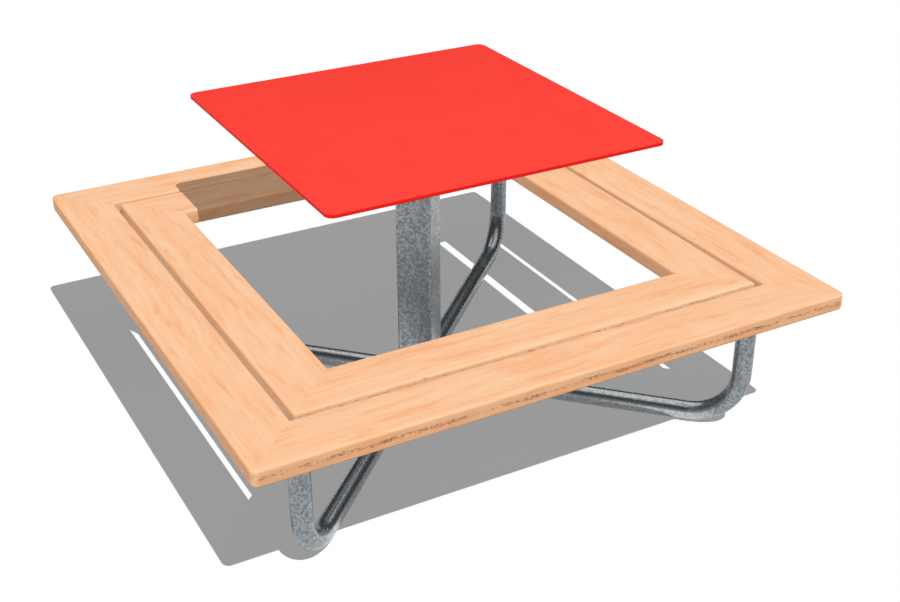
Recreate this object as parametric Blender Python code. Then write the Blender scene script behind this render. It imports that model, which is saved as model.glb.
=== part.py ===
"""Children's table with a square bench ring around it.

A square steel post, turned 45 degrees, carries a thin laminate top. Four bent tubes run from the
post's foot along the ground to the corners and rise to the bench. The bench is two rings of planks,
mitred at the corners, on flat steel plates that follow the diagonals.

Units are metres and +Z is up. The origin is on the ground under the middle of the post. The front
faces -Y, and left and right are as seen from there.
"""

import math

import bmesh
import bpy
from mathutils import Matrix, Vector

# Gap left between pieces that touch
seam = 0.0003

# Table top panel
top_height = 0.648
top_width = 0.750
top_thickness = 0.008
top_corner_radius = 0.018
top_edge_break = 0.0008

# Bench ring
bench_width = 1.300
bench_corner_radius = 0.015
seat_height = 0.356
plank_width = 0.118
plank_thickness = 0.036
plank_gap = 0.012
plank_edge_radius = 0.006

# Centre post, a square hollow section
post_width = 0.080
post_wall = 0.003
post_corner_radius = 0.006

# Leg tubes, from the bench's outer face to the middle of each rising tube
tube_diameter = 0.0424
tube_wall = 0.0026
tube_bend_radius = 0.110
tube_inset = 0.134

# Plates
corner_plate_width = 0.090
corner_plate_thickness = 0.006
corner_plate_corner_radius = 0.008
corner_plate_end_margin = 0.016
top_plate_width = 0.300
top_plate_thickness = 0.006
top_plate_corner_radius = 0.012
foot_plate_thickness = 0.006
drain_diameter = 0.020

# Screws that hold the planks, in pairs on both sides of each mitre
bench_screw_diameter = 0.008
bench_screw_head_width = 0.013
bench_screw_head_height = 0.0055
bench_screw_mitre_distance = 0.026
bench_screw_pitch = 0.054
bench_screw_cover = 0.012

# Screws that hold the table top
top_screw_diameter = 0.006
top_screw_head_width = 0.010
top_screw_head_height = 0.004
top_screw_edge_distance = 0.025
top_screw_cover = 0.0025

screw_tip_length = 0.002
screw_hole_play = 0.0005
cutter_overrun = 0.001
merge_distance = 0.000001

# Numbers of flats on round shapes
corner_steps = 4
tube_sides = 24
tube_bend_steps = 8
screw_sides = 12
drain_sides = 16

smooth_angle = math.radians(40)

# Turn of each side's frame from the front, and of each corner's frame from +X
sides = {"front": 0, "right": 90, "back": 180, "left": 270}
corners = {"front_left": 225, "front_right": 315, "back_right": 45, "back_left": 135}
post_turn = 45

# Heights and places that follow from the sizes above
plank_underside = seat_height - plank_thickness
corner_plate_top = plank_underside - seam
corner_plate_underside = corner_plate_top - corner_plate_thickness
top_underside = top_height - top_thickness
top_plate_top = top_underside - seam
top_plate_underside = top_plate_top - top_plate_thickness
outer_ring_reach = bench_width / 2
inner_ring_reach = outer_ring_reach - plank_width - plank_gap


def clear_scene():
    for obj in list(bpy.data.objects):
        bpy.data.objects.remove(obj)


def make_material(name, colour, roughness, metallic):
    material = bpy.data.materials.new(name)
    material.use_nodes = True
    shader = material.node_tree.nodes["Principled BSDF"]
    shader.inputs["Base Color"].default_value = (*colour, 1)
    shader.inputs["Roughness"].default_value = roughness
    shader.inputs["Metallic"].default_value = metallic
    material.diffuse_color = (*colour, 1)
    return material


def make_frame(name, turn):
    """An empty on the ground at the middle, turned about Z by a number of degrees."""
    frame = bpy.data.objects.new(name, None)
    frame.rotation_euler.z = math.radians(turn)
    bpy.context.collection.objects.link(frame)
    return frame


def add_piece(name, mesh, material, frame=None, place=(0, 0, 0)):
    piece = bpy.data.objects.new(name, mesh)
    piece.data.materials.clear()
    piece.data.materials.append(material)
    piece.location = place
    piece.parent = frame
    bpy.context.collection.objects.link(piece)
    return piece


def skin(name, loops, hollow=False):
    """A closed mesh through loops of points that all have the same number of points.

    A hollow one joins the last loop to the first, any other is capped at both ends.
    """
    mesh_builder = bmesh.new()
    rows = [[mesh_builder.verts.new(point) for point in loop] for loop in loops]
    pairs = list(zip(rows, rows[1:]))
    if hollow:
        pairs.append((rows[-1], rows[0]))
    else:
        mesh_builder.faces.new(rows[0])
        mesh_builder.faces.new(rows[-1])
    for row, following in pairs:
        for index in range(len(row)):
            after = (index + 1) % len(row)
            mesh_builder.faces.new((row[index], row[after], following[after], following[index]))
    bmesh.ops.remove_doubles(mesh_builder, verts=mesh_builder.verts, dist=merge_distance)
    bmesh.ops.recalc_face_normals(mesh_builder, faces=mesh_builder.faces)
    return finish_mesh(name, mesh_builder)


def finish_mesh(name, mesh_builder):
    mesh = bpy.data.meshes.new(name)
    mesh_builder.to_mesh(mesh)
    mesh_builder.free()
    mesh.shade_smooth()
    mesh.set_sharp_from_angle(angle=smooth_angle)
    return mesh


def rounded_rectangle(length, width, radius):
    """Outline of a rectangle with round corners, along X by length and along Y by width."""
    points = []
    quarters = ((1, 1), (-1, 1), (-1, -1), (1, -1))
    for quarter, (side_x, side_y) in enumerate(quarters):
        centre = Vector((side_x * (length / 2 - radius), side_y * (width / 2 - radius)))
        for step in range(corner_steps + 1):
            angle = (quarter + step / corner_steps) * math.pi / 2
            points.append(centre + radius * Vector((math.cos(angle), math.sin(angle))))
    return points


def circle(diameter, flats):
    angles = [2 * math.pi * index / flats for index in range(flats)]
    return [Vector((math.cos(angle), math.sin(angle))) * diameter / 2 for angle in angles]


def hexagon(width, count):
    """A hexagon's outline, width across its flats, as a number of points at equal angles."""
    points = []
    for index in range(count):
        angle = 2 * math.pi * index / count
        from_flat = (angle + math.pi / 6) % (math.pi / 3) - math.pi / 6
        reach = width / 2 / math.cos(from_flat)
        points.append(Vector((math.cos(angle), math.sin(angle))) * reach)
    return points


def raised(outline, height):
    return [(point.x, point.y, height) for point in outline]


def cut(mesh, cutters):
    """The mesh less the cutters, a list of meshes in the same frame."""
    cutter_builder = bmesh.new()
    for cutter in cutters:
        cutter_builder.from_mesh(cutter)
    body = bpy.data.objects.new(mesh.name, mesh)
    tool = bpy.data.objects.new("cutter", finish_mesh("cutter", cutter_builder))
    tool.hide_render = True
    tool.display_type = "WIRE"
    for obj in (body, tool):
        bpy.context.collection.objects.link(obj)
    holes = body.modifiers.new("holes", "BOOLEAN")
    holes.operation = "DIFFERENCE"
    holes.object = tool
    shown = body.evaluated_get(bpy.context.evaluated_depsgraph_get())
    result = bpy.data.meshes.new_from_object(shown)
    result.name = mesh.name
    for obj in (body, tool):
        bpy.data.objects.remove(obj)
    return result


def hole(x, y, low, high, diameter, flats):
    outline = [point + Vector((x, y)) for point in circle(diameter, flats)]
    return skin("hole", [raised(outline, low), raised(outline, high)])


# Places of the bench screws

def screw_distances(ring_reach):
    """How far from the middle, along a corner's diagonal, a ring's two screws of one side lie."""
    plank_middle = ring_reach - plank_width / 2
    pair_middle = plank_middle * math.sqrt(2) - bench_screw_mitre_distance
    return [pair_middle - bench_screw_pitch / 2, pair_middle + bench_screw_pitch / 2]


def corner_screw_spots():
    """All screw places at one corner, in the corner's frame, whose X axis is the diagonal."""
    distances = screw_distances(inner_ring_reach) + screw_distances(outer_ring_reach)
    offsets = (-bench_screw_mitre_distance, bench_screw_mitre_distance)
    return [(distance, offset) for distance in distances for offset in offsets]


def plank_screw_spots(ring_reach):
    """The screw places of one ring's front plank, in the table's frame."""
    spots = []
    for distance in screw_distances(ring_reach):
        x = (distance - bench_screw_mitre_distance) / math.sqrt(2)
        y = -(distance + bench_screw_mitre_distance) / math.sqrt(2)
        spots += [(-x, y), (x, y)]
    return spots


# Table top

def top_panel_mesh():
    outline = rounded_rectangle(top_width, top_width, top_corner_radius)
    narrow = top_width - 2 * top_edge_break
    inner = rounded_rectangle(narrow, narrow, top_corner_radius - top_edge_break)
    loops = [
        raised(inner, top_underside),
        raised(outline, top_underside + top_edge_break),
        raised(outline, top_height - top_edge_break),
        raised(inner, top_height),
    ]
    diameter = top_screw_diameter + 2 * seam
    roof = top_height - top_screw_cover + seam
    floor = top_underside - cutter_overrun
    holes = [hole(x, y, floor, roof, diameter, screw_sides) for x, y in top_screw_spots()]
    return cut(skin("table_top", loops), holes)


def top_screw_spots():
    reach = top_plate_width / 2 - top_screw_edge_distance
    return [(side_x * reach, side_y * reach) for side_x in (-1, 1) for side_y in (-1, 1)]


def top_plate_mesh():
    outline = rounded_rectangle(top_plate_width, top_plate_width, top_plate_corner_radius)
    plate = skin("top_plate", [raised(outline, top_plate_underside), raised(outline, top_plate_top)])
    floor = top_plate_underside - cutter_overrun
    roof = top_plate_top + cutter_overrun
    diameter = top_screw_diameter + 2 * screw_hole_play
    holes = [hole(x, y, floor, roof, diameter, screw_sides) for x, y in top_screw_spots()]
    holes.append(hole(0, 0, floor, roof, drain_diameter, drain_sides))
    return cut(plate, holes)


# Centre post

def post_mesh():
    inside = post_width - 2 * post_wall
    outline = rounded_rectangle(post_width, post_width, post_corner_radius)
    bore = rounded_rectangle(inside, inside, post_corner_radius - post_wall)
    low = foot_plate_thickness + seam
    high = top_plate_underside - seam
    loops = [raised(outline, low), raised(outline, high), raised(bore, high), raised(bore, low)]
    return skin("centre_post", loops, hollow=True)


def foot_plate_mesh():
    outline = rounded_rectangle(post_width, post_width, post_corner_radius)
    bore = circle(drain_diameter, len(outline))
    turn = Matrix.Rotation(math.pi / 4 - math.pi / len(outline), 2)
    bore = [turn @ point for point in bore]
    loops = [
        raised(outline, 0),
        raised(outline, foot_plate_thickness),
        raised(bore, foot_plate_thickness),
        raised(bore, 0),
    ]
    return skin("foot_plate", loops, hollow=True)


# Leg tubes

def tube_stations():
    """Points of the tube's middle line and the direction's slope there, along X and up Z."""
    lying = tube_diameter / 2
    reach = (outer_ring_reach - tube_inset) * math.sqrt(2)
    stations = [(post_width / 2 + seam, lying, 0)]
    for step in range(tube_bend_steps + 1):
        slope = step / tube_bend_steps * math.pi / 2
        x = reach - tube_bend_radius + tube_bend_radius * math.sin(slope)
        z = lying + tube_bend_radius - tube_bend_radius * math.cos(slope)
        stations.append((x, z, slope))
    stations.append((reach, corner_plate_underside - seam, math.pi / 2))
    return stations


def tube_loops(diameter):
    loops = []
    for x, z, slope in tube_stations():
        loop = []
        for point in circle(diameter, tube_sides):
            loop.append((x - point.x * math.sin(slope), point.y, z + point.x * math.cos(slope)))
        loops.append(loop)
    return loops


def leg_tube_mesh():
    outer = tube_loops(tube_diameter)
    bore = tube_loops(tube_diameter - 2 * tube_wall)
    return skin("leg_tube", outer + bore[::-1], hollow=True)


# Bench

def corner_plate_mesh():
    distances = [distance for distance, offset in corner_screw_spots()]
    near = min(distances) - corner_plate_end_margin
    far = max(distances) + corner_plate_end_margin
    middle = Vector(((near + far) / 2, 0))
    outline = rounded_rectangle(far - near, corner_plate_width, corner_plate_corner_radius)
    outline = [point + middle for point in outline]
    plate = skin("corner_plate", [raised(outline, corner_plate_underside), raised(outline, corner_plate_top)])
    floor = corner_plate_underside - cutter_overrun
    roof = corner_plate_top + cutter_overrun
    diameter = bench_screw_diameter + 2 * screw_hole_play
    holes = [hole(x, y, floor, roof, diameter, screw_sides) for x, y in corner_screw_spots()]
    return cut(plate, holes)


def plank_section():
    """A plank's section as offsets inwards from its outer face and heights."""
    section = rounded_rectangle(plank_width, plank_thickness, plank_edge_radius)
    middle = Vector((plank_width / 2, plank_underside + plank_thickness / 2))
    return [point + middle for point in section]


def plank_loop(section, ring_reach, corner_radius, turn, end):
    """The section where the ring's corner has turned by an angle, at one end of the front plank.

    Points further in than the corner radius lie on the mitre.
    """
    mitre_gap = seam / math.sqrt(2)
    loop = []
    for point in section:
        round_part = max(corner_radius - point.x, 0)
        straight_part = ring_reach - max(corner_radius, point.x)
        x = straight_part + round_part * math.sin(turn) - mitre_gap
        y = straight_part + round_part * math.cos(turn)
        loop.append((end * x, -y, point.y))
    return loop


def plank_mesh(name, ring_reach, corner_radius):
    section = plank_section()
    steps = corner_steps if corner_radius else 0
    turns = [math.pi / 4 * (1 - step / max(steps, 1)) for step in range(steps + 1)]
    loops = [plank_loop(section, ring_reach, corner_radius, turn, -1) for turn in turns]
    loops += [plank_loop(section, ring_reach, corner_radius, turn, 1) for turn in turns[::-1]]
    floor = plank_underside - cutter_overrun
    roof = seat_height - bench_screw_cover + seam
    diameter = bench_screw_diameter + 2 * seam
    spots = plank_screw_spots(ring_reach)
    holes = [hole(x, y, floor, roof, diameter, screw_sides) for x, y in spots]
    return cut(skin(name, loops), holes)


# Screws, drawn with the underside of the head at zero and the point upwards

def screw_mesh(name, diameter, head_width, head_height, length):
    head = hexagon(head_width, screw_sides)
    shank = circle(diameter, screw_sides)
    tip = circle(diameter - screw_tip_length, screw_sides)
    loops = [
        raised(head, -head_height),
        raised(head, 0),
        raised(shank, 0),
        raised(shank, length - screw_tip_length),
        raised(tip, length),
    ]
    return skin(name, loops)


def add_table_top(laminate, steel, zinc):
    add_piece("table_top", top_panel_mesh(), laminate)
    add_piece("top_plate", top_plate_mesh(), steel)
    head_seat = top_plate_underside - seam
    length = top_height - top_screw_cover - head_seat
    mesh = screw_mesh("top_screw", top_screw_diameter, top_screw_head_width, top_screw_head_height, length)
    for number, (x, y) in enumerate(top_screw_spots(), 1):
        add_piece(f"top_screw_{number}", mesh, zinc, place=(x, y, head_seat))


def add_post(steel):
    frame = make_frame("post_frame", post_turn)
    add_piece("centre_post", post_mesh(), steel, frame)
    add_piece("foot_plate", foot_plate_mesh(), steel, frame)


def add_corners(steel, zinc):
    tube = leg_tube_mesh()
    plate = corner_plate_mesh()
    head_seat = corner_plate_underside - seam
    length = seat_height - bench_screw_cover - head_seat
    screw = screw_mesh(
        "bench_screw", bench_screw_diameter, bench_screw_head_width, bench_screw_head_height, length
    )
    for corner, turn in corners.items():
        frame = make_frame(f"{corner}_frame", turn)
        add_piece(f"leg_tube_{corner}", tube, steel, frame)
        add_piece(f"corner_plate_{corner}", plate, steel, frame)
        for number, (x, y) in enumerate(corner_screw_spots(), 1):
            add_piece(f"bench_screw_{corner}_{number}", screw, zinc, frame, (x, y, head_seat))


def add_bench(wood):
    outer = plank_mesh("outer_plank", outer_ring_reach, bench_corner_radius)
    inner = plank_mesh("inner_plank", inner_ring_reach, 0)
    for side, turn in sides.items():
        frame = make_frame(f"{side}_frame", turn)
        add_piece(f"outer_plank_{side}", outer, wood, frame)
        add_piece(f"inner_plank_{side}", inner, wood, frame)


def main():
    clear_scene()
    laminate = make_material("red_laminate", (0.95, 0.06, 0.045), 0.35, 0)
    steel = make_material("galvanised_steel", (0.30, 0.32, 0.33), 0.45, 0.8)
    zinc = make_material("zinc_plated_steel", (0.55, 0.56, 0.56), 0.35, 1)
    wood = make_material("wood", (0.90, 0.57, 0.33), 0.6, 0)
    add_table_top(laminate, steel, zinc)
    add_post(steel)
    add_corners(steel, zinc)
    add_bench(wood)


main()
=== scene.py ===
"""Looks of the children's table with its bench ring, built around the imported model.

Units are metres. The origin is on the ground under the middle of the post, +Z is up and the front
faces -Y. Left and right are as seen from the front.
"""

import math
import random

import bmesh
import bpy
from mathutils import Matrix, Vector, noise


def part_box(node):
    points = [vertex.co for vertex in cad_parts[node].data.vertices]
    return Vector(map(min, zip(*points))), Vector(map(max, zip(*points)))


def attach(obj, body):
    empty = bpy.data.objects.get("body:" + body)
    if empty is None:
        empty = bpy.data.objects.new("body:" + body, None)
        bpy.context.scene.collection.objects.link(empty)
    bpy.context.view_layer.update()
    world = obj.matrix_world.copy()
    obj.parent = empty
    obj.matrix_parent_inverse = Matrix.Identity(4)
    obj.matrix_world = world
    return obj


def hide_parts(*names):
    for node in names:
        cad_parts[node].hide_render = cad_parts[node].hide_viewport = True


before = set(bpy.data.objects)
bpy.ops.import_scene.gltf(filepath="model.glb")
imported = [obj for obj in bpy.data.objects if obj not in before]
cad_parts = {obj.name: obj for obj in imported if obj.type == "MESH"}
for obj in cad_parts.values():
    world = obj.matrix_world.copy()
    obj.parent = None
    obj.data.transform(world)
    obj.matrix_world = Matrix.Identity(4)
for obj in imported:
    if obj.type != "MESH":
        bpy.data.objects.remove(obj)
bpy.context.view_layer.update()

# Sizes that the boxes of the model's nodes give
top_low, top_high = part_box("table_top")
outer_low, outer_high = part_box("outer_plank_front")
inner_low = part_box("inner_plank_front")[0]
post_low, post_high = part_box("centre_post")
tube_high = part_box("leg_tube_back_right")[1]

plank_underside = outer_low.z
seat_height = outer_high.z
plank_width = outer_high.y - outer_low.y
plank_thickness = outer_high.z - outer_low.z
outer_ring_reach = -outer_low.y
inner_ring_reach = -inner_low.y

# Sizes that the boxes don't show, as in the model's source
seam = 0.0003
plank_edge_radius = 0.006
bench_corner_radius = 0.015
top_corner_radius = 0.018
top_edge_radius = 0.0008
post_width = 0.080
post_wall = 0.003
post_corner_radius = 0.006
tube_diameter = 0.0424
tube_wall = 0.0026
tube_bend_radius = 0.110
bench_screw_diameter = 0.008
bench_screw_head_width = 0.013
bench_screw_head_height = 0.0055
top_screw_diameter = 0.006
top_screw_head_width = 0.010
top_screw_head_height = 0.004
screw_tip_length = 0.002

smooth_angle = math.radians(35)
merge_distance = 0.000001

# Turn of each side from the front, of each corner from +X, and of the post
sides = {"front": 0, "right": 90, "back": 180, "left": 270}
post_turn = 45
corners = {"front_left": 225, "front_right": 315, "back_right": 45, "back_left": 135}

# Camera of the photograph
camera_place = (-1.2383, -2.3976, 1.6447)
camera_yaw = -0.502633
camera_pitch = 0.490536
camera_roll = -0.002411
camera_lens = 53.8155
camera_sensor = 36

# Light of the photograph: a high sun from the front, a pale sky, and soft fills from six sides that
# spare the floor. A fill of share 1 lights a face that looks at it as much as a white sky does.
sun_travel = (0.014, 0.677, -1)
sun_strength = 2.60
sun_angle = math.radians(0.3)
sky_light = 0.341
white = 1.0
fills = {
    "above": ((0, 0, -1), 0.116),
    "below": ((0, 0, 1), 0.01),
    "left": ((1, 0, 0), 0.35),
    "right": ((-1, 0, 0), 0.12),
    "front": ((0, 1, 0), 0.11),
    "back": ((0, -1, 0), 0.12),
}

# What the steel mirrors beside the floor and the sky. A dark flag stands round the scene, up to these
# angles, with a dim card at its foot on the camera's side.
flag_reach = 4
flag_low_rise = math.radians(41.4)
flag_high_rise = math.radians(74.5)
flag_grey = 0.028
card_side = (-0.848, -0.530, 0.0)
card_rise = math.radians(27)
card_grey = 0.24


# Meshes

def finish_mesh(name, builder):
    """A smooth mesh with sharp edges where it turns sharply."""
    mesh = bpy.data.meshes.new(name)
    builder.to_mesh(mesh)
    builder.free()
    mesh.shade_smooth()
    mesh.set_sharp_from_angle(angle=smooth_angle)
    return mesh


def skin(name, loops, hollow=False):
    """A closed mesh through loops of points that all have the same number of points.

    A hollow one joins the last loop to the first, any other is capped at both ends.
    """
    builder = bmesh.new()
    rows = [[builder.verts.new(point) for point in loop] for loop in loops]
    pairs = list(zip(rows, rows[1:]))
    if hollow:
        pairs.append((rows[-1], rows[0]))
    else:
        builder.faces.new(rows[0])
        builder.faces.new(rows[-1])
    for row, following in pairs:
        for index in range(len(row)):
            after = (index + 1) % len(row)
            builder.faces.new((row[index], row[after], following[after], following[index]))
    bmesh.ops.remove_doubles(builder, verts=builder.verts, dist=merge_distance)
    bmesh.ops.recalc_face_normals(builder, faces=builder.faces)
    return finish_mesh(name, builder)


def rounded_rectangle(length, width, radius, steps):
    """Outline of a rectangle with round corners, its length along X and its width along Y."""
    points = []
    quarters = ((1, 1), (-1, 1), (-1, -1), (1, -1))
    for quarter, (side_x, side_y) in enumerate(quarters):
        centre = Vector((side_x * (length / 2 - radius), side_y * (width / 2 - radius)))
        for step in range(steps + 1):
            angle = (quarter + step / steps) * math.pi / 2
            points.append(centre + radius * Vector((math.cos(angle), math.sin(angle))))
    return points


def circle(diameter, steps):
    angles = [2 * math.pi * index / steps for index in range(steps)]
    return [Vector((math.cos(angle), math.sin(angle))) * diameter / 2 for angle in angles]


def raised(outline, height):
    return [Vector((point.x, point.y, height)) for point in outline]


def add_piece(name, mesh, material, replaced=(), turn=0, place=(0, 0, 0)):
    """A piece that rides with the table and takes the place of some of the model's nodes.

    Bounced and sky light pass through it, so it neither tints nor darkens what is near.
    """
    piece = bpy.data.objects.new(name, mesh)
    piece.data.materials.clear()
    piece.data.materials.append(material)
    piece.location = place
    piece.rotation_euler.z = math.radians(turn)
    bpy.context.scene.collection.objects.link(piece)
    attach(piece, "root")
    if replaced:
        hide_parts(*replaced)
    piece.visible_diffuse = False
    return piece


# Node trees

def add_node(tree, kind, sockets=None, **settings):
    """A node with its settings. Each socket given by name or number gets a link or a value."""
    node = tree.nodes.new(kind)
    for name, value in settings.items():
        setattr(node, name, value)
    for name, value in (sockets or {}).items():
        if isinstance(value, bpy.types.NodeSocket):
            tree.links.new(value, node.inputs[name])
        else:
            node.inputs[name].default_value = value
    return node


def start_material(name):
    """A new material, with its tree and its Principled shader."""
    material = bpy.data.materials.new(name)
    material.use_nodes = True
    tree = material.node_tree
    return material, tree, tree.nodes["Principled BSDF"]


def maths(tree, operation, first, second=0.0):
    return add_node(tree, "ShaderNodeMath", {0: first, 1: second}, operation=operation).outputs[0]


def vector_maths(tree, operation, first, second):
    """A sum done on each part of two vectors."""
    return add_node(tree, "ShaderNodeVectorMath", {0: first, 1: second}, operation=operation).outputs[0]


def length_along(tree, vector, side):
    """How far a vector goes towards a side."""
    sockets = {0: vector, 1: side}
    return add_node(tree, "ShaderNodeVectorMath", sockets, operation="DOT_PRODUCT").outputs["Value"]


def cloud(tree, place, counts, detail=2.0, roughness=0.5, distortion=0.0):
    """A noise with about so many blotches per metre along X, Y and Z."""
    sockets = {
        "Vector": vector_maths(tree, "MULTIPLY", place, counts),
        "Scale": 1.0,
        "Detail": detail,
        "Roughness": roughness,
        "Distortion": distortion,
    }
    return add_node(tree, "ShaderNodeTexNoise", sockets)


def swayed(tree, place, counts, reach):
    """The place moved about by a noise, by up to half the reach each way."""
    sway = cloud(tree, place, counts).outputs["Color"]
    sway = vector_maths(tree, "SUBTRACT", sway, (0.5, 0.5, 0.5))
    return vector_maths(tree, "ADD", place, vector_maths(tree, "MULTIPLY", sway, reach))


def ramp(tree, value, low, high, to_low=0.0, to_high=1.0):
    """A smooth step from to_low to to_high as the value goes from low to high."""
    sockets = {"Value": value, "From Min": low, "From Max": high, "To Min": to_low, "To Max": to_high}
    node = add_node(tree, "ShaderNodeMapRange", sockets, interpolation_type="SMOOTHSTEP")
    return node.outputs[0]


def mixed(tree, factor, first, second):
    """Two colours mixed by a factor. Each is a link or three values."""
    colours = []
    for value in (first, second):
        colours.append(value if isinstance(value, bpy.types.NodeSocket) else (*value, 1))
    sockets = {0: factor, 6: colours[0], 7: colours[1]}
    return add_node(tree, "ShaderNodeMix", sockets, data_type="RGBA").outputs[2]


def bumped(tree, height, depth):
    """A normal for a height from 0 to 1 that stands for a depth in metres."""
    sockets = {"Height": height, "Distance": depth, "Strength": 1.0}
    return add_node(tree, "ShaderNodeBump", sockets).outputs[0]


def object_place(tree):
    return add_node(tree, "ShaderNodeTexCoord").outputs["Object"]


def painted(tree, name, part):
    """What a mesh says of its own points under a name: a number as Fac or a place as Vector."""
    return add_node(tree, "ShaderNodeAttribute", attribute_name=name).outputs[part]


# Materials

def laminate_material():
    """Red compact laminate with a faint satin grain, and a deeper red on its edge and underside as
    painted shade.
    """
    material, tree, shader = start_material("red_laminate")
    place = object_place(tree)
    tone = cloud(tree, place, (9, 9, 9), detail=3).outputs["Fac"]
    red, light_red, shaded_edge_red = (0.889, 0.0465, 0.033), (0.899, 0.0505, 0.036), (0.860, 0.012, 0.009)
    colour = mixed(tree, ramp(tree, tone, 0.35, 0.65), red, light_red)
    height = add_node(tree, "ShaderNodeSeparateXYZ", {0: place}).outputs["Z"]
    face = ramp(tree, height, top_high.z - top_edge_radius, top_high.z - top_edge_radius / 4)
    # Painted shade: every face below the lit top, edge and underside, gets the deeper red
    colour = mixed(tree, face, shaded_edge_red, colour)
    grain = cloud(tree, place, (1400, 1400, 1400), detail=2).outputs["Fac"]
    shader.inputs["Specular IOR Level"].default_value = 0.1
    tree.links.new(colour, shader.inputs["Base Color"])
    tree.links.new(ramp(tree, grain, 0.3, 0.7, 0.44, 0.54), shader.inputs["Roughness"])
    tree.links.new(bumped(tree, grain, 0.00002), shader.inputs["Normal"])
    return material


def galvanised_material():
    """Hot-dip galvanised steel, dull grey with blotches and small crystals.

    A mesh says where the steel is rubbed smoother and lighter: partly worn zinc, partly painted
    highlight.
    """
    material, tree, shader = start_material("galvanised_steel")
    place = object_place(tree)
    bent = swayed(tree, place, (70, 70, 70), (0.016, 0.016, 0.016))
    crystals = add_node(tree, "ShaderNodeTexVoronoi", {"Vector": bent, "Scale": 150.0}).outputs["Color"]
    crystals = add_node(tree, "ShaderNodeSeparateColor", {0: crystals}).outputs[0]
    blotches = cloud(tree, place, (168, 168, 168), distortion=0.4).outputs["Fac"]
    blotches = ramp(tree, blotches, 0.38, 0.62)
    crystal_part = maths(tree, "MULTIPLY", crystals, 0.25)
    mottle = maths(tree, "ADD", maths(tree, "MULTIPLY", blotches, 0.75), crystal_part)
    wide = cloud(tree, place, (14, 14, 14), detail=3).outputs["Fac"]
    dark_grey, pale_grey, wide_grey = (0.161, 0.182, 0.197), (0.368, 0.400, 0.418), (0.218, 0.248, 0.266)
    colour = mixed(tree, mottle, dark_grey, pale_grey)
    colour = mixed(tree, ramp(tree, wide, 0.3, 0.7, 0.0, 0.35), colour, wide_grey)
    wear_and_highlight = painted(tree, "wear_and_highlight", "Fac")
    # Painted highlight: the lying runs get a lighter grey, partly rubbed zinc and partly painted light
    # for their bright reflections
    highlit_worn_grey, highlit_worn_pale_grey = (0.387, 0.414, 0.432), (0.576, 0.612, 0.630)
    colour = mixed(tree, wear_and_highlight, colour, mixed(tree, mottle, highlit_worn_grey, highlit_worn_pale_grey))
    tree.links.new(ramp(tree, wear_and_highlight, 0.0, 1.0, 0.86, 0.95), shader.inputs["Metallic"])
    tree.links.new(colour, shader.inputs["Base Color"])
    unevenness = ramp(tree, wear_and_highlight, 0.0, 1.0, 0.10, 0.03)
    roughness = maths(tree, "MULTIPLY", ramp(tree, mottle, 0.0, 1.0, 1.0, 0.0), unevenness)
    tree.links.new(maths(tree, "ADD", roughness, 0.26), shader.inputs["Roughness"])
    relief = maths(tree, "MULTIPLY", blotches, ramp(tree, wear_and_highlight, 0.0, 1.0, 0.4, 0.03))
    tree.links.new(bumped(tree, relief, 0.00006), shader.inputs["Normal"])
    return material


def zinc_material():
    """Bright zinc plating with a faint drawn grain."""
    material, tree, shader = start_material("zinc_plated_steel")
    place = object_place(tree)
    grain = cloud(tree, place, (900, 900, 250), detail=3).outputs["Fac"]
    dull_zinc, bright_zinc = (0.50, 0.51, 0.52), (0.66, 0.67, 0.67)
    colour = mixed(tree, ramp(tree, grain, 0.3, 0.7), dull_zinc, bright_zinc)
    shader.inputs["Metallic"].default_value = 1.0
    tree.links.new(colour, shader.inputs["Base Color"])
    tree.links.new(ramp(tree, grain, 0.3, 0.7, 0.40, 0.28), shader.inputs["Roughness"])
    return material


def wood_material():
    """Pale timber with grain along each plank, soft orange flames and dark splits.

    Each plank's mesh says under "timber" where a point lies in its timber, along X, across Y and
    up Z, under "split" how deep it is in a split, and under "sides" how tan, how spotted and how
    orange its side faces are there.
    """
    material, tree, shader = start_material("wood")
    place = painted(tree, "timber", "Vector")
    bent = swayed(tree, place, (2.2, 10, 10), (0.0, 0.040, 0.040))
    lines = cloud(tree, bent, (3.0, 190, 190), detail=3, roughness=0.6).outputs["Fac"]
    fibres = cloud(tree, bent, (14, 480, 480)).outputs["Fac"]
    colour = grain_colour(tree, bent, lines, fibres)
    colour = side_colour(tree, place, colour)
    relief = maths(tree, "ADD", maths(tree, "MULTIPLY", lines, 0.6), maths(tree, "MULTIPLY", fibres, 0.4))
    shader.inputs["Specular IOR Level"].default_value = 0.25
    tree.links.new(colour, shader.inputs["Base Color"])
    tree.links.new(ramp(tree, lines, 0.3, 0.7, 0.62, 0.74), shader.inputs["Roughness"])
    tree.links.new(bumped(tree, relief, 0.00012), shader.inputs["Normal"])
    return material


def grain_colour(tree, bent, lines, fibres):
    """The timber's colour all round: its tone, lines, fibres, flames and flecks."""
    wood, pale_wood = (0.870, 0.496, 0.287), (0.884, 0.547, 0.333)
    line_brown, fibre_brown = (0.841, 0.411, 0.201), (0.760, 0.400, 0.206)
    flame_orange, fleck_brown = (0.822, 0.376, 0.166), (0.430, 0.250, 0.140)
    tone = cloud(tree, bent, (3.5, 30, 30)).outputs["Fac"]
    colour = mixed(tree, ramp(tree, tone, 0.34, 0.64), wood, pale_wood)
    colour = mixed(tree, ramp(tree, lines, 0.46, 0.72, 0.0, 0.52), colour, line_brown)
    colour = mixed(tree, ramp(tree, fibres, 0.48, 0.72, 0.0, 0.40), colour, fibre_brown)
    flames = cloud(tree, bent, (7, 46, 46), detail=3, roughness=0.55, distortion=0.4).outputs["Fac"]
    colour = mixed(tree, ramp(tree, flames, 0.44, 0.84, 0.0, 1.0), colour, flame_orange)
    flecks = cloud(tree, bent, (60, 420, 420), detail=2, roughness=0.6).outputs["Fac"]
    return mixed(tree, ramp(tree, flecks, 0.70, 0.77, 0.0, 0.55), colour, fleck_brown)


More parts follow.
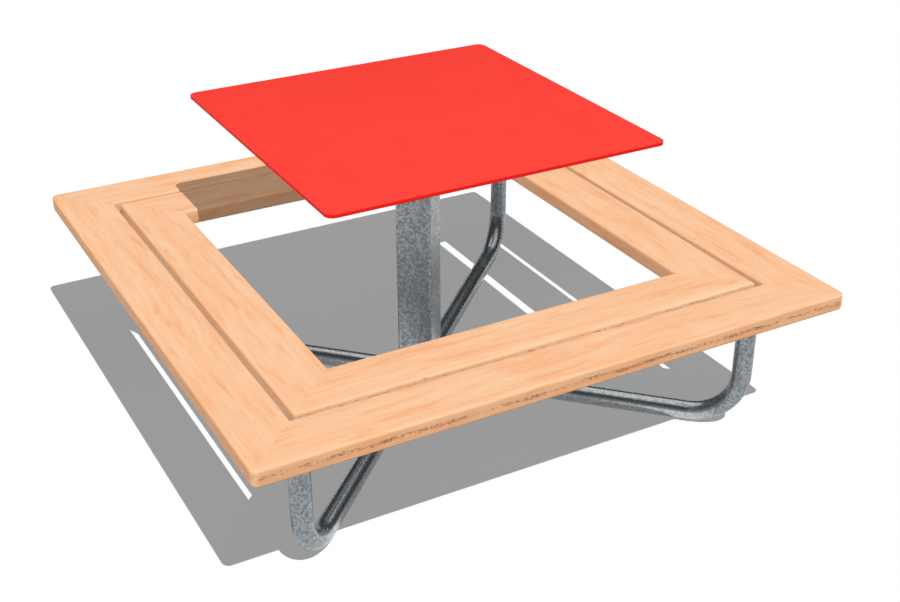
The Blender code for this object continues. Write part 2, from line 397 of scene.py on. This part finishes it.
def side_colour(tree, place, colour):
    """What a plank's side faces add: orange streaks that are partly painted bounce light, a tan haze,
    brown marks and dark splits.
    """
    streak_orange, haze_tan = (0.760, 0.300, 0.105), (0.690, 0.405, 0.220)
    mark_brown, split_brown = (0.225, 0.088, 0.034), (0.120, 0.058, 0.028)
    sides_there = painted(tree, "sides", "Vector")
    tan, spots, orange = add_node(tree, "ShaderNodeSeparateXYZ", {0: sides_there}).outputs
    streaks = cloud(tree, place, (16, 60, 620), detail=3, roughness=0.6).outputs["Fac"]
    streaks = maths(tree, "MULTIPLY", orange, ramp(tree, streaks, 0.40, 0.62, 0.35, 1.0))
    colour = mixed(tree, streaks, colour, streak_orange)
    colour = mixed(tree, tan, colour, haze_tan)
    coarse = cloud(tree, place, (120, 120, 480), detail=4, roughness=0.7).outputs["Fac"]
    crowded = add_node(tree, "ShaderNodeMath", {0: spots, 1: 0.36, 2: coarse}, operation="MULTIPLY_ADD")
    marks = ramp(tree, crowded.outputs[0], 0.75, 0.85)
    marks = maths(tree, "MULTIPLY", marks, ramp(tree, spots, 0.0, 0.1, 0.0, 0.72))
    colour = mixed(tree, marks, colour, mark_brown)
    broken = cloud(tree, place, (200, 200, 700)).outputs["Fac"]
    dark = maths(tree, "MULTIPLY", painted(tree, "split", "Fac"), ramp(tree, broken, 0.38, 0.48))
    return mixed(tree, dark, colour, split_brown)


def floor_material():
    """White where the camera, metal or glass sees it, with a darker bounce on the object.

    It bounces light once, and from below it is clear.
    """
    material, tree, shader = start_material("floor")
    tree.nodes.remove(shader)
    path = add_node(tree, "ShaderNodeLightPath")
    seen = maths(tree, "MAXIMUM", path.outputs["Is Camera Ray"], path.outputs["Is Glossy Ray"])
    seen = maths(tree, "MAXIMUM", seen, path.outputs["Is Transmission Ray"])
    deep = maths(tree, "GREATER_THAN", path.outputs["Diffuse Depth"], 1.5)
    floor_bounce, floor_white, black = (0.30, 0.30, 0.30), (0.99, 0.99, 0.99), (0.0, 0.0, 0.0)
    bounce = mixed(tree, deep, floor_bounce, black)
    colour = mixed(tree, seen, bounce, floor_white)
    surface = add_node(tree, "ShaderNodeBsdfDiffuse", {"Color": colour}).outputs[0]
    clear = add_node(tree, "ShaderNodeBsdfTransparent").outputs[0]
    below = add_node(tree, "ShaderNodeNewGeometry").outputs["Backfacing"]
    surface = add_node(tree, "ShaderNodeMixShader", {0: below, 1: surface, 2: clear}).outputs[0]
    tree.links.new(surface, tree.nodes["Material Output"].inputs["Surface"])
    return material


# Table top

def top_panel_mesh():
    """The panel, with round corners and its edges broken above and below."""
    width = top_high.x - top_low.x
    corner_steps = 16
    edge_steps = 4
    angles = [step / edge_steps * math.pi / 2 for step in range(edge_steps + 1)]
    levels = []
    for angle in angles:
        inset, rise = (top_edge_radius * (1 - part) for part in (math.sin(angle), math.cos(angle)))
        levels.append((inset, top_low.z + rise))
    for angle in angles:
        inset, drop = (top_edge_radius * (1 - part) for part in (math.cos(angle), math.sin(angle)))
        levels.append((inset, top_high.z - drop))
    loops = []
    for inset, height in levels:
        side = width - 2 * inset
        outline = rounded_rectangle(side, side, top_corner_radius - inset, corner_steps)
        loops.append(raised(outline, height))
    return skin("table_top_panel", loops)


def add_table_top(laminate):
    panel = add_piece("table_top_panel", top_panel_mesh(), laminate, ["table_top"])
    panel.visible_glossy = False


# Steel

weld_size = 0.0026
weld_ripple_pitch = 0.0030
weld_point_spacing = 0.0008


def post_mesh():
    """The post as a hollow section, open at both ends."""
    steps = 10
    inside = post_width - 2 * post_wall
    outline = rounded_rectangle(post_width, post_width, post_corner_radius, steps)
    bore = rounded_rectangle(inside, inside, post_corner_radius - post_wall, steps)
    heights = (post_low.z, post_high.z)
    loops = [raised(outline, height) for height in heights]
    loops += [raised(bore, height) for height in heights[::-1]]
    return skin("post_shaft", loops, hollow=True)


def tube_stations():
    """Points of the tube's middle line and the direction's slope there, along X and up Z."""
    bend_steps = 32
    lying = tube_diameter / 2
    reach = (tube_high.x - lying) * math.sqrt(2)
    stations = [(post_width / 2 + seam, lying, 0)]
    for step in range(bend_steps + 1):
        slope = step / bend_steps * math.pi / 2
        x = reach - tube_bend_radius + tube_bend_radius * math.sin(slope)
        z = lying + tube_bend_radius - tube_bend_radius * math.cos(slope)
        stations.append((x, z, slope))
    stations.append((reach, tube_high.z, math.pi / 2))
    return stations


def tube_mesh():
    """One hollow tube, and how worn and painted light it is: fully where it lies, not at all where it
    rises.
    """
    tube_sides = 64
    wear_and_highlight_start = 1.2
    wear_and_highlight_fade = 1.6

    def loops(diameter):
        made = []
        for x, z, slope in tube_stations():
            loop = []
            for point in circle(diameter, tube_sides):
                loop.append((x - point.x * math.sin(slope), point.y, z + point.x * math.cos(slope)))
            made.append(loop)
        return made

    outside = loops(tube_diameter)
    inside = loops(tube_diameter - 2 * tube_wall)
    mesh = skin("leg_tube", outside + inside[::-1], hollow=True)
    bend_start = tube_stations()[1][0]
    # Share of wear and painted highlight: full along the lying run, fading out up the bend
    wear_and_highlight = []
    for vertex in mesh.vertices:
        past = (vertex.co.x - bend_start) / tube_bend_radius
        rise = (vertex.co.z - tube_diameter) / tube_bend_radius
        share = min(max(wear_and_highlight_start - max(past, rise) * wear_and_highlight_fade, 0), 1)
        wear_and_highlight.append(share * share * (3 - 2 * share))
    mesh.attributes.new("wear_and_highlight", "FLOAT", "POINT").data.foreach_set("value", wear_and_highlight)
    return mesh


def bead_mesh(name, centres):
    """A closed weld bead along points that lie on a ring, with ripples along it."""
    bead_sides = 12
    ripple_share = 0.12
    total = sum((centres[index] - centres[index - 1]).length for index in range(len(centres)))
    ripples = max(round(total / weld_ripple_pitch), 1)
    middle = sum(centres, Vector()) / len(centres)
    normal = (centres[0] - middle).cross(centres[len(centres) // 4] - middle).normalized()
    loops = []
    walked = 0
    for index, centre in enumerate(centres):
        after = centres[(index + 1) % len(centres)]
        tangent = (after - centres[index - 1]).normalized()
        outward = tangent.cross(normal).normalized()
        phase = walked / total * ripples * 2 * math.pi
        radius = weld_size * (1 + ripple_share * math.sin(phase))
        loop = []
        for side in range(bead_sides):
            angle = 2 * math.pi * side / bead_sides
            point = centre + radius * (outward * math.cos(angle) + normal * math.sin(angle))
            point.z = max(point.z, seam)
            loop.append(point)
        loops.append(loop)
        walked += (after - centre).length
    return skin(name, loops, hollow=True)


def add_post(steel):
    """The post and the weld bead that holds the top plate on it."""
    add_piece("post_shaft", post_mesh(), steel, ["centre_post"], post_turn)
    steps = 12
    outline = rounded_rectangle(post_width, post_width, post_corner_radius, steps)
    spread = []
    for index, point in enumerate(outline):
        following = outline[(index + 1) % len(outline)]
        pieces = max(round((following - point).length / weld_point_spacing), 1)
        spread += [point.lerp(following, share / pieces) for share in range(pieces)]
    bead = bead_mesh("top_plate_weld", raised(spread, post_high.z - weld_size / 3))
    add_piece("top_plate_weld", bead, steel, turn=post_turn)


def add_tubes(steel):
    """The four leg tubes, each with a weld bead at its foot and at its head."""
    ring_points = 160
    tube = tube_mesh()
    reach = (tube_high.x - tube_diameter / 2) * math.sqrt(2)
    round_tube = circle(tube_diameter, ring_points)
    foot_x = post_width / 2 + seam + weld_size / 3
    foot_ring = [Vector((foot_x, point.x, point.y + tube_diameter / 2)) for point in round_tube]
    head_ring = [Vector((reach + point.x, point.y, tube_high.z - weld_size / 3)) for point in round_tube]
    foot_weld = bead_mesh("foot_weld", foot_ring)
    head_weld = bead_mesh("head_weld", head_ring)
    for corner, turn in corners.items():
        add_piece(f"tube_{corner}", tube, steel, [f"leg_tube_{corner}"], turn)
        add_piece(f"foot_weld_{corner}", foot_weld, steel, turn=turn)
        add_piece(f"head_weld_{corner}", head_weld, steel, turn=turn)


def dress_plates(steel):
    """Steel on the plates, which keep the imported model's own meshes."""
    carried = ["top_plate", "foot_plate"] + [f"corner_plate_{corner}" for corner in corners]
    for name in carried:
        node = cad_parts[name]
        node.data.materials.clear()
        node.data.materials.append(steel)


# Screws

def screw_mesh(name, diameter, head_width, head_height, length):
    """A hexagon head with its corners turned off at the top, and a plain shank."""
    round_sides = 48
    crown_share = 0.94
    crown = head_width / 2 * crown_share
    chamfer_slope = math.tan(math.radians(30))
    angles = [2 * math.pi * index / round_sides for index in range(round_sides)]
    reaches = []
    for angle in angles:
        from_flat = (angle + math.pi / 6) % (math.pi / 3) - math.pi / 6
        reaches.append(head_width / 2 / math.cos(from_flat))

    def ring(ring_reaches, heights):
        points = []
        for angle, reach, height in zip(angles, ring_reaches, heights):
            points.append((math.cos(angle) * reach, math.sin(angle) * reach, height))
        return points

    def level_ring(reach, height):
        return ring([reach] * round_sides, [height] * round_sides)

    chamfer = [-head_height + (reach - crown) * chamfer_slope for reach in reaches]
    tip = diameter / 2 - screw_tip_length / 2
    loops = [
        level_ring(crown, -head_height),
        ring(reaches, chamfer),
        ring(reaches, [0] * round_sides),
        level_ring(diameter / 2, 0),
        level_ring(diameter / 2, length - screw_tip_length),
        level_ring(tip, length),
    ]
    return skin(name, loops)


def add_screws(zinc):
    """All screws, one mesh for each family. The bench's are turned with the diagonals."""
    families = [
        ("top_screw", top_screw_diameter, top_screw_head_width, top_screw_head_height, 0),
        ("bench_screw", bench_screw_diameter, bench_screw_head_width, bench_screw_head_height, 45),
    ]
    for family, diameter, head_width, head_height, turn in families:
        names = sorted(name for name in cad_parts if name.startswith(family))
        low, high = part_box(names[0])
        length = high.z - low.z - head_height
        mesh = screw_mesh(family, diameter, head_width, head_height, length)
        for name in names:
            low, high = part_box(name)
            place = ((low.x + high.x) / 2, (low.y + high.y) / 2, low.z + head_height)
            add_piece(f"fixed_{name}", mesh, zinc, [name], turn, place)


# Bench

mitre_gap = 0.00003
unevenness = 0.00025

# Splits in the planks' outer faces: how far up the face they lie, how many of them each side and
# ring has, and their sizes
outer_split_line_share = 0.49
inner_split_line_share = 0.74
side_split_shares = {"front": 1.0, "right": 0.0, "back": 0.7, "left": 0.0}
ring_split_shares = {"outer": 1.0, "inner": 0.6}
split_pitches = (0.003, 0.011)
split_half_lengths = (0.0018, 0.0105)
split_half_heights = (0.0004, 0.0010)
split_spread = 0.0022
split_wave = 0.0006
split_depth = 0.0009


def plank_section(fine):
    """Offsets inwards from the outer face and heights, around a plank with round long edges.

    The outer face gets close rows in a fine plank, for the splits in it.
    """
    arc_steps = 6
    face_steps = 10
    plain_side_steps = 5
    side_steps = 30 if fine else plain_side_steps
    radius = plank_edge_radius
    low, high = plank_underside, plank_underside + plank_thickness
    rounds = (
        ((plank_width - radius, high - radius), 0),
        ((radius, high - radius), 1),
        ((radius, low + radius), 2),
        ((plank_width - radius, low + radius), 3),
    )
    points = []
    for index, (centre, quarter) in enumerate(rounds):
        for step in range(arc_steps + 1):
            angle = (quarter + step / arc_steps) * math.pi / 2
            points.append(Vector(centre) + radius * Vector((math.cos(angle), math.sin(angle))))
        following = rounds[(index + 1) % len(rounds)]
        angle = following[1] * math.pi / 2
        target = Vector(following[0]) + radius * Vector((math.cos(angle), math.sin(angle)))
        steps = (face_steps, side_steps, face_steps, plain_side_steps)[index]
        last = points[-1]
        points += [last.lerp(target, step / steps) for step in range(1, steps)]
    return points


def plank_loop(section, ring_reach, corner_radius, turn, end):
    """The section where the ring's corner has turned by an angle, at one end of the front plank."""
    loop = []
    for point in section:
        round_part = max(corner_radius - point.x, 0)
        straight_part = ring_reach - max(corner_radius, point.x)
        x = straight_part + round_part * math.sin(turn) - mitre_gap
        y = straight_part + round_part * math.cos(turn)
        loop.append(Vector((end * x, -y, point.y)))
    return loop


def wave(x, count, seed, layer):
    """A smooth random wave between about -1 and 1 along x, with a count of swings per metre."""
    return noise.noise(Vector((x * count, seed, layer)))


def split_line_share(ring_reach):
    """How far up a plank's outer face its splits lie."""
    return outer_split_line_share if ring_reach == outer_ring_reach else inner_split_line_share


def make_splits(ring_reach, amount, seed):
    """Short splits along the outer face: the middle of each, its half length and half height."""
    dice = random.Random(seed)
    crowd_middle, crowd_swing = 0.34, 0.5
    splits = []
    x = -ring_reach
    while x < ring_reach:
        x += dice.uniform(*split_pitches)
        crowd = crowd_middle + crowd_swing * wave(x, 14, seed, 0.5)
        if dice.random() > amount * crowd:
            continue
        line = plank_underside + plank_thickness * split_line_share(ring_reach)
        line += split_spread * wave(x, 5, seed, 3.5)
        z = line + dice.gauss(0, split_spread)
        splits.append((x, z, dice.uniform(*split_half_lengths), dice.uniform(*split_half_heights)))
    return splits


def depth_in_splits(x, z, splits):
    """How far a point of the outer face is into a split, from 0 to 1."""
    deepest = 0
    for middle_x, middle_z, half_length, half_height in splits:
        along = (x - middle_x) / half_length
        if abs(along) >= 1:
            continue
        bow = split_wave * noise.noise(Vector((x * 160, middle_x * 50, 7.5)))
        up = (z - middle_z - bow) / (half_height * math.sqrt(1 - along * along))
        deepest = max(deepest, 1 - up * up)
    return deepest


def plank_skin(name, ring_reach, corner_radius, fine):
    """A front plank between its mitres, with the ring's round corner at its outer ends."""
    section = plank_section(fine)
    corner_steps = 8 if corner_radius else 0
    station_pitch = 0.0017 if fine else 0.012
    turns = [math.pi / 4 * (1 - step / max(corner_steps, 1)) for step in range(corner_steps + 1)]
    near = [plank_loop(section, ring_reach, corner_radius, turn, -1) for turn in turns]
    far = [plank_loop(section, ring_reach, corner_radius, turn, 1) for turn in turns[::-1]]
    stations = round(2 * ring_reach / station_pitch)
    between = []
    for step in range(1, stations):
        share = step / stations
        between.append([first.lerp(last, share) for first, last in zip(near[-1], far[0])])
    return skin(name, near + between + far)


def plank_mesh(name, ring_reach, corner_radius, amount, seed):
    """A front plank with its timber's grain, the splits in its outer face and a faint unevenness."""
    fine = amount > 0
    mesh = plank_skin(name, ring_reach, corner_radius, fine)
    farthest_timber = 40
    dice = random.Random(seed)
    offset = Vector([dice.uniform(0, farthest_timber) for axis in range(3)])
    splits = make_splits(ring_reach, amount, seed)
    timber, split, sides_there = [], [], []
    for vertex in mesh.vertices:
        point = vertex.co.copy()
        timber.extend(point + offset)
        inwards = Vector((0, 0, 0))
        ripple = noise.noise(Vector((point.x * 6, point.y * 25 + seed, point.z * 25))) * 0.5 + 0.5
        depth = 0
        if abs(point.z - seat_height) < seam:
            inwards.z = -unevenness * ripple
        if fine and point.y < -ring_reach + seam:
            depth = depth_in_splits(point.x, point.z, splits)
            inwards.y = split_depth * depth + unevenness * ripple
        split.append(depth)
        sides_there.extend(side_shares(point, ring_reach, amount, seed))
        vertex.co = point + inwards
    mesh.attributes.new("timber", "FLOAT_VECTOR", "POINT").data.foreach_set("vector", timber)
    mesh.attributes.new("split", "FLOAT", "POINT").data.foreach_set("value", split)
    mesh.attributes.new("sides", "FLOAT_VECTOR", "POINT").data.foreach_set("vector", sides_there)
    return mesh


def side_shares(point, ring_reach, amount, seed):
    """How tan, how spotted and how orange a point of a plank's long side faces is.

    An outer face with splits is tan in its upper half, orange below, and spotted along the splits.
    Any other side face is evenly orange, partly its timber's colour and partly painted bounce light.
    """
    bounce_and_timber_orange = 0.38
    orange_least, orange_swing, orange_lost_above = 0.28, 0.36, 0.8
    tan_least, tan_swing = 0.04, 0.18
    tan_edge_share, tan_edge_sway, tan_edge_blur = 0.50, 0.10, 0.12
    spot_line_sway, spot_band_share = 0.10, 0.20
    crowd_least, crowd_middle, crowd_swing = 0.40, 0.80, 0.3
    from_outside = point.y + ring_reach
    facing = max(1 - from_outside / plank_edge_radius, 0)
    inner_facing = max(1 - (plank_width - from_outside) / plank_edge_radius, 0)
    # Painted bounce light: the even orange on plain side faces and gap walls stands partly for light the
    # planks throw on each other
    if not amount or inner_facing:
        return 0, 0, bounce_and_timber_orange * max(facing, inner_facing)
    height_share = (point.z - plank_underside) / plank_thickness
    edge = tan_edge_share + tan_edge_sway * wave(point.x, 14, seed, 1.5)
    above = min(max((height_share - edge) / tan_edge_blur, 0), 1)
    patch = 0.5 + 0.5 * noise.noise(Vector((point.x * 45, point.z * 150, seed)))
    tan = facing * facing * above * (tan_least + tan_swing * patch)
    orange = facing * (1 - orange_lost_above * above) * (orange_least + orange_swing * patch)
    line_share = split_line_share(ring_reach) + spot_line_sway * wave(point.x, 20, seed, 4.5)
    away = (height_share - line_share) / spot_band_share
    crowd = crowd_middle + crowd_swing * wave(point.x, 22, seed, 2.5)
    crowd = min(max(crowd, crowd_least), 1)
    spots = facing * math.exp(-away * away) * crowd * amount
    return tan, spots, orange


def add_bench(wood):
    """The eight planks. Each is a front plank turned to its side, with a timber of its own."""
    rings = {"outer": (outer_ring_reach, bench_corner_radius), "inner": (inner_ring_reach, 0)}
    first_seed = 18
    seed_step = 7
    seed = first_seed
    for ring, (reach, corner_radius) in rings.items():
        for side, turn in sides.items():
            name = f"{ring}_plank_{side}"
            amount = side_split_shares[side] * ring_split_shares[ring]
            mesh = plank_mesh(f"{name}_timber", reach, corner_radius, amount, seed)
            timber = add_piece(f"{name}_timber", mesh, wood, [name], turn)
            timber.visible_glossy = False
            seed += seed_step


# Surroundings

def add_floor():
    """A plain square floor, far larger than the view."""
    reach = 60
    builder = bmesh.new()
    points = [(-reach, -reach), (reach, -reach), (reach, reach), (-reach, reach)]
    builder.faces.new([builder.verts.new((x, y, 0)) for x, y in points])
    floor = bpy.data.objects.new("floor", finish_mesh("floor", builder))
    floor.data.materials.append(floor_material())
    bpy.context.scene.collection.objects.link(floor)
    return floor


def flag_material():
    """Nearly black, with a dim grey card low down on the camera's side."""
    material, tree, shader = start_material("flag")
    tree.nodes.remove(shader)
    card_end, card_middle = 0.75 * flag_reach, 0.97 * flag_reach
    position = add_node(tree, "ShaderNodeNewGeometry").outputs["Position"]
    towards = length_along(tree, position, card_side)
    top = ramp(tree, towards, card_end, card_middle, 0.0, flag_reach * math.tan(card_rise))
    height = add_node(tree, "ShaderNodeSeparateXYZ", {0: position}).outputs["Z"]
    card = maths(tree, "LESS_THAN", height, top)
    strength = ramp(tree, card, 0.0, 1.0, flag_grey, card_grey)
    glow = add_node(tree, "ShaderNodeEmission", {"Color": (1, 1, 1, 1), "Strength": strength}).outputs[0]
    tree.links.new(glow, tree.nodes["Material Output"].inputs["Surface"])
    return material


def add_flag():
    """A dark studio flag round the scene, highest on the left, that only the steel mirrors."""
    steps = 48
    lift = 0.001
    outline = circle(2 * flag_reach, steps)
    builder = bmesh.new()
    low = [builder.verts.new((point.x, point.y, lift)) for point in outline]
    high = []
    for point in outline:
        leftness = 0.5 - 0.5 * point.x / flag_reach
        rise = flag_low_rise + (flag_high_rise - flag_low_rise) * leftness ** 2
        high.append(builder.verts.new((point.x, point.y, flag_reach * math.tan(rise))))
    for index in range(steps):
        after = (index + 1) % steps
        builder.faces.new((low[index], low[after], high[after], high[index]))
    flag = bpy.data.objects.new("flag", finish_mesh("flag", builder))
    flag.data.materials.append(flag_material())
    bpy.context.scene.collection.objects.link(flag)
    flag.visible_camera = False
    flag.visible_diffuse = False
    flag.visible_shadow = False
    flag.visible_transmission = False


def add_sky():
    """A white sky to the camera, metal and glass, and a weak pale one as a light."""
    world = bpy.data.worlds.new("sky")
    world.use_nodes = True
    tree = world.node_tree
    path = add_node(tree, "ShaderNodeLightPath")
    seen = maths(tree, "MAXIMUM", path.outputs["Is Camera Ray"], path.outputs["Is Glossy Ray"])
    seen = maths(tree, "MAXIMUM", seen, path.outputs["Is Transmission Ray"])
    strength = maths(tree, "MULTIPLY_ADD", seen, white - sky_light)
    strength.node.inputs[2].default_value = sky_light
    background = tree.nodes["Background"]
    background.inputs["Color"].default_value = (1, 1, 1, 1)
    tree.links.new(strength, background.inputs["Strength"])
    bpy.context.scene.world = world


def add_lamp(name, travel, strength):
    """A far lamp whose light travels in a given direction."""
    light = bpy.data.lights.new(name, "SUN")
    light.energy = strength
    lamp = bpy.data.objects.new(name, light)
    lamp.rotation_euler = Vector(travel).to_track_quat("-Z", "Y").to_euler()
    bpy.context.scene.collection.objects.link(lamp)
    return lamp


def add_lamps(floor):
    """The sun, and the fills, which throw no shadows, make no highlights and spare the floor."""
    add_lamp("sun", sun_travel, sun_strength).data.angle = sun_angle
    spared = bpy.data.collections.new("spared_by_fills")
    spared.objects.link(floor)
    spared.collection_objects[0].light_linking.link_state = "EXCLUDE"
    for side, (travel, share) in fills.items():
        lamp = add_lamp(f"fill_{side}", travel, share * math.pi)
        lamp.data.use_shadow = False
        lamp.visible_glossy = False
        lamp.light_linking.receiver_collection = spared


def add_camera():
    """The camera of the photograph."""
    lens = bpy.data.cameras.new("camera")
    lens.sensor_width = camera_sensor
    lens.lens = camera_lens
    camera = bpy.data.objects.new("camera", lens)
    turn = Matrix.Rotation(camera_yaw, 4, "Z")
    turn @= Matrix.Rotation(math.pi / 2 - camera_pitch, 4, "X")
    turn @= Matrix.Rotation(camera_roll, 4, "Z")
    camera.matrix_world = Matrix.Translation(camera_place) @ turn
    bpy.context.scene.collection.objects.link(camera)
    bpy.context.scene.camera = camera


def main():
    add_camera()
    floor = add_floor()
    add_flag()
    add_sky()
    add_lamps(floor)
    add_table_top(laminate_material())
    steel = galvanised_material()
    add_post(steel)
    add_tubes(steel)
    dress_plates(steel)
    add_screws(zinc_material())
    add_bench(wood_material())
    bpy.context.scene.view_settings.view_transform = "Standard"


main()
